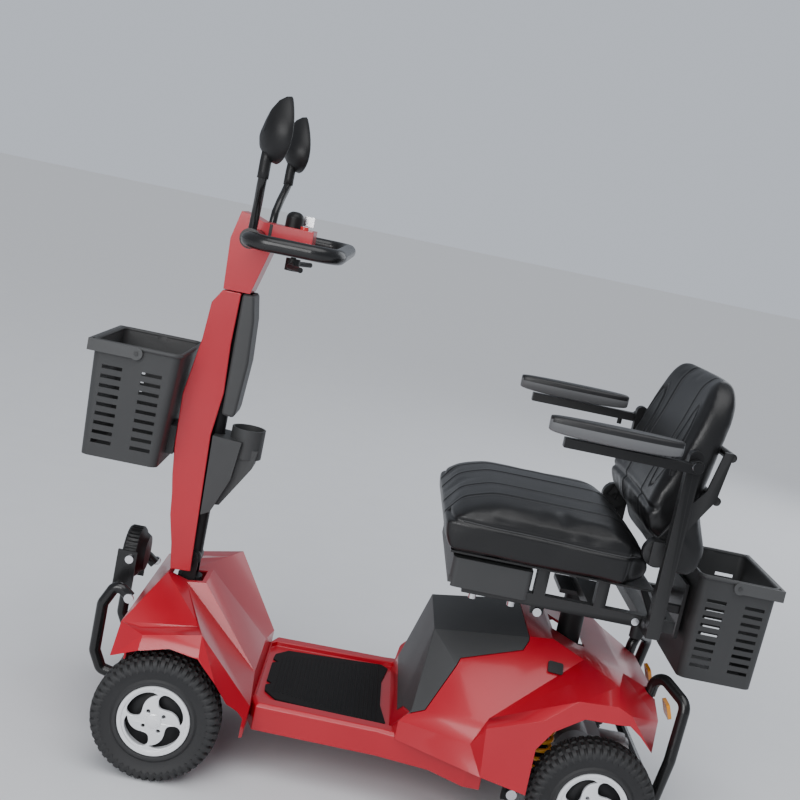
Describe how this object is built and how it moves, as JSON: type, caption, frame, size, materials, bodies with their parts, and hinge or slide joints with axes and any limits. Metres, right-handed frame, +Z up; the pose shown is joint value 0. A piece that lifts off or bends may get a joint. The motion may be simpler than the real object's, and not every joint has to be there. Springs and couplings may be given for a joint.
{
  "type": "four-wheel mobility scooter",
  "caption": "Four-wheel mobility scooter with steered tilting tiller, padded seat on a sprung rear drive, flip-up armrests and baskets.",
  "frame": {"origin": "on the ground, on the centreline, midway along the whole length; the middle of the wheelbase lies 18 mm ahead of it, at X = -0.018", "axes": "+Z up, -X towards the nose (direction of travel), -Y towards the driver's left"},
  "size_m": [1.364, 0.584, 1.236],
  "materials": {
    "red_body": "satin",
    "grey_plastic": "moulded",
    "black_plastic": "moulded",
    "frame_black": "powder coat",
    "tube_black": "gloss",
    "bright_steel": "zinc plated",
    "cast_alloy": "cast",
    "wheel_white": "gloss",
    "tyre": "moulded tread",
    "mat_rubber": "ribbed",
    "leatherette": "grained",
    "pad_foam": "skinned foam",
    "mirror": "polished",
    "lens": "clear",
    "amber": "moulded",
    "spring_yellow": "gloss",
    "battery": "moulded",
    "control_red": "moulded"
  },
  "bodies": {
    "chassis": {"batteries": "battery", "battery_cover": "grey_plastic", "chassis_frame": "frame_black", "floor_pan": "red_body", "foot_mat": "mat_rubber", "frame_bolts": "bright_steel", "front_bumper": "tube_black", "front_shroud": "red_body", "headlight_housing": "black_plastic", "headlight_lens": "lens", "motor_controller": "black_plastic", "rear_basket": "grey_plastic", "rear_body": "red_body", "rear_bumper": "tube_black", "seat_box": "grey_plastic", "seat_cushion": "leatherette", "seat_frame": "frame_black", "tail_lamps": "amber"},
    "steering_column": {"steering_stem": "frame_black"},
    "knuckle_left": {"steering_knuckle_left": "bright_steel"},
    "knuckle_right": {"steering_knuckle_right": "bright_steel"},
    "track_rod_left": {"tie_rod_left": "bright_steel"},
    "track_rod_right": {"tie_rod_right": "bright_steel"},
    "rear_suspension": {"swing_arm": "frame_black", "transaxle": "cast_alloy", "drive_motor": "cast_alloy", "rear_springs": "spring_yellow"},
    "tiller": {"tiller_tube": "frame_black", "tiller_shell": "red_body", "tiller_pad": "grey_plastic", "cup_holder": "grey_plastic", "tiller_head": "red_body", "handlebar": "tube_black", "mirror_stalks": "tube_black", "front_basket": "grey_plastic"},
    "dial": {"speed_dial": "black_plastic"},
    "horn": {"horn_button": "control_red"},
    "key": {"ignition_key": "bright_steel"},
    "throttle": {"throttle_lever": "black_plastic"},
    "mirror_left": {"mirror_head_left": "black_plastic", "mirror_glass_left": "mirror"},
    "mirror_right": {"mirror_head_right": "black_plastic", "mirror_glass_right": "mirror"},
    "front_bail": {"front_basket_handle": "grey_plastic"},
    "rear_bail": {"rear_basket_handle": "grey_plastic"},
    "armrest_left": {"armrest_arm_left": "frame_black", "armrest_pad_left": "pad_foam"},
    "armrest_right": {"armrest_arm_right": "frame_black", "armrest_pad_right": "pad_foam"},
    "backrest": {"backrest_frame": "frame_black", "backrest_cushion": "leatherette"},
    "port_flap": {"charge_port_flap": "black_plastic"},
    "wheel_front_left": {"tyre_front_left": "tyre", "rim_front_left": "wheel_white"},
    "wheel_front_right": {"tyre_front_right": "tyre", "rim_front_right": "wheel_white"},
    "wheel_rear_left": {"tyre_rear_left": "tyre", "rim_rear_left": "wheel_white"},
    "wheel_rear_right": {"tyre_rear_right": "tyre", "rim_rear_right": "wheel_white"}
  },
  "joints": [
    {"name": "steering", "type": "hinge", "parent": "chassis", "child": "steering_column", "pos_m": [-0.436, 0, 0.245], "axis": [0, 0, 1], "range_deg": [-25, 25]},
    {"name": "kingpin_left", "type": "hinge", "parent": "chassis", "child": "knuckle_left", "pos_m": [-0.419, -0.18, 0.116], "axis": [0, 0, 1], "range_deg": [-25, 25]},
    {"name": "drop_arm_pin_left", "type": "hinge", "parent": "steering_column", "child": "track_rod_left", "pos_m": [-0.376, 0, 0.15], "axis": [0, 0, 1], "range_deg": [-25, 25]},
    {"name": "front_wheel_left", "type": "hinge", "parent": "knuckle_left", "child": "wheel_front_left", "pos_m": [-0.419, -0.248, 0.116], "axis": [0, 1, 0], "continuous": true},
    {"name": "rear_wheel_left", "type": "hinge", "parent": "rear_suspension", "child": "wheel_rear_left", "pos_m": [0.383, -0.248, 0.116], "axis": [0, 1, 0], "continuous": true},
    {"name": "kingpin_right", "type": "hinge", "parent": "chassis", "child": "knuckle_right", "pos_m": [-0.419, 0.18, 0.116], "axis": [0, 0, 1], "range_deg": [-25, 25]},
    {"name": "drop_arm_pin_right", "type": "hinge", "parent": "steering_column", "child": "track_rod_right", "pos_m": [-0.376, 0, 0.162], "axis": [0, 0, 1], "range_deg": [-25, 25]},
    {"name": "front_wheel_right", "type": "hinge", "parent": "knuckle_right", "child": "wheel_front_right", "pos_m": [-0.419, 0.248, 0.116], "axis": [0, 1, 0], "continuous": true},
    {"name": "rear_wheel_right", "type": "hinge", "parent": "rear_suspension", "child": "wheel_rear_right", "pos_m": [0.383, 0.248, 0.116], "axis": [0, 1, 0], "continuous": true},
    {"name": "tiller_tilt", "type": "hinge", "parent": "steering_column", "child": "tiller", "pos_m": [-0.436, 0, 0.345], "axis": [0, 1, 0], "range_deg": [-5, 25]},
    {"name": "suspension", "type": "hinge", "parent": "chassis", "child": "rear_suspension", "pos_m": [0.249, 0, 0.078], "axis": [0, -1, 0], "range_deg": [-4, 4], "stiffness_Nm_per_rad": 4000, "deforming": ["rear_springs"]},
    {"name": "speed_dial_turn", "type": "hinge", "parent": "tiller", "child": "dial", "pos_m": [-0.364, 0, 1.015], "axis": [0, 0, 1], "range_deg": [0, 270]},
    {"name": "horn_press", "type": "slide", "parent": "tiller", "child": "horn", "axis": [0, 0, -1], "range_m": [0, 0.003]},
    {"name": "key_turn", "type": "hinge", "parent": "tiller", "child": "key", "pos_m": [-0.34, 0.036, 1.015], "axis": [0, 0, -1], "range_deg": [0, 90]},
    {"name": "throttle_swing", "type": "hinge", "parent": "tiller", "child": "throttle", "pos_m": [-0.353, 0, 0.96], "axis": [0, 0, 1], "range_deg": [-20, 20]},
    {"name": "mirror_swivel_left", "type": "hinge", "parent": "tiller", "child": "mirror_left", "pos_m": [-0.412, -0.218, 1.12], "axis": [0, 0, 1], "range_deg": [-30, 30]},
    {"name": "armrest_flip_left", "type": "hinge", "parent": "chassis", "child": "armrest_left", "pos_m": [0.42, -0.267, 0.762], "axis": [0, 1, 0], "range_deg": [0, 95]},
    {"name": "mirror_swivel_right", "type": "hinge", "parent": "tiller", "child": "mirror_right", "pos_m": [-0.412, 0.218, 1.12], "axis": [0, 0, 1], "range_deg": [-30, 30]},
    {"name": "armrest_flip_right", "type": "hinge", "parent": "chassis", "child": "armrest_right", "pos_m": [0.42, 0.267, 0.762], "axis": [0, 1, 0], "range_deg": [0, 95]},
    {"name": "front_bail_swing", "type": "hinge", "parent": "tiller", "child": "front_bail", "pos_m": [-0.592, 0, 0.736], "axis": [0, 1, 0], "range_deg": [0, 110]},
    {"name": "rear_bail_swing", "type": "hinge", "parent": "chassis", "child": "rear_bail", "pos_m": [0.597, 0, 0.529], "axis": [0, -1, 0], "range_deg": [0, 110]},
    {"name": "backrest_fold", "type": "hinge", "parent": "chassis", "child": "backrest", "pos_m": [0.399, 0, 0.59], "axis": [0, -1, 0], "range_deg": [-10, 30]},
    {"name": "charge_flap_open", "type": "hinge", "parent": "chassis", "child": "port_flap", "pos_m": [0.2844, -0.1484, 0.3257], "axis": [-0.9842, -0.1349, 0.1145], "range_deg": [0, 100]}
  ],
  "couplings": [
    {"joint": "kingpin_left", "follows": "steering", "ratio": 1},
    {"joint": "kingpin_right", "follows": "steering", "ratio": 1},
    {"joint": "drop_arm_pin_left", "follows": "steering", "ratio": -1},
    {"joint": "drop_arm_pin_right", "follows": "steering", "ratio": -1}
  ]
}
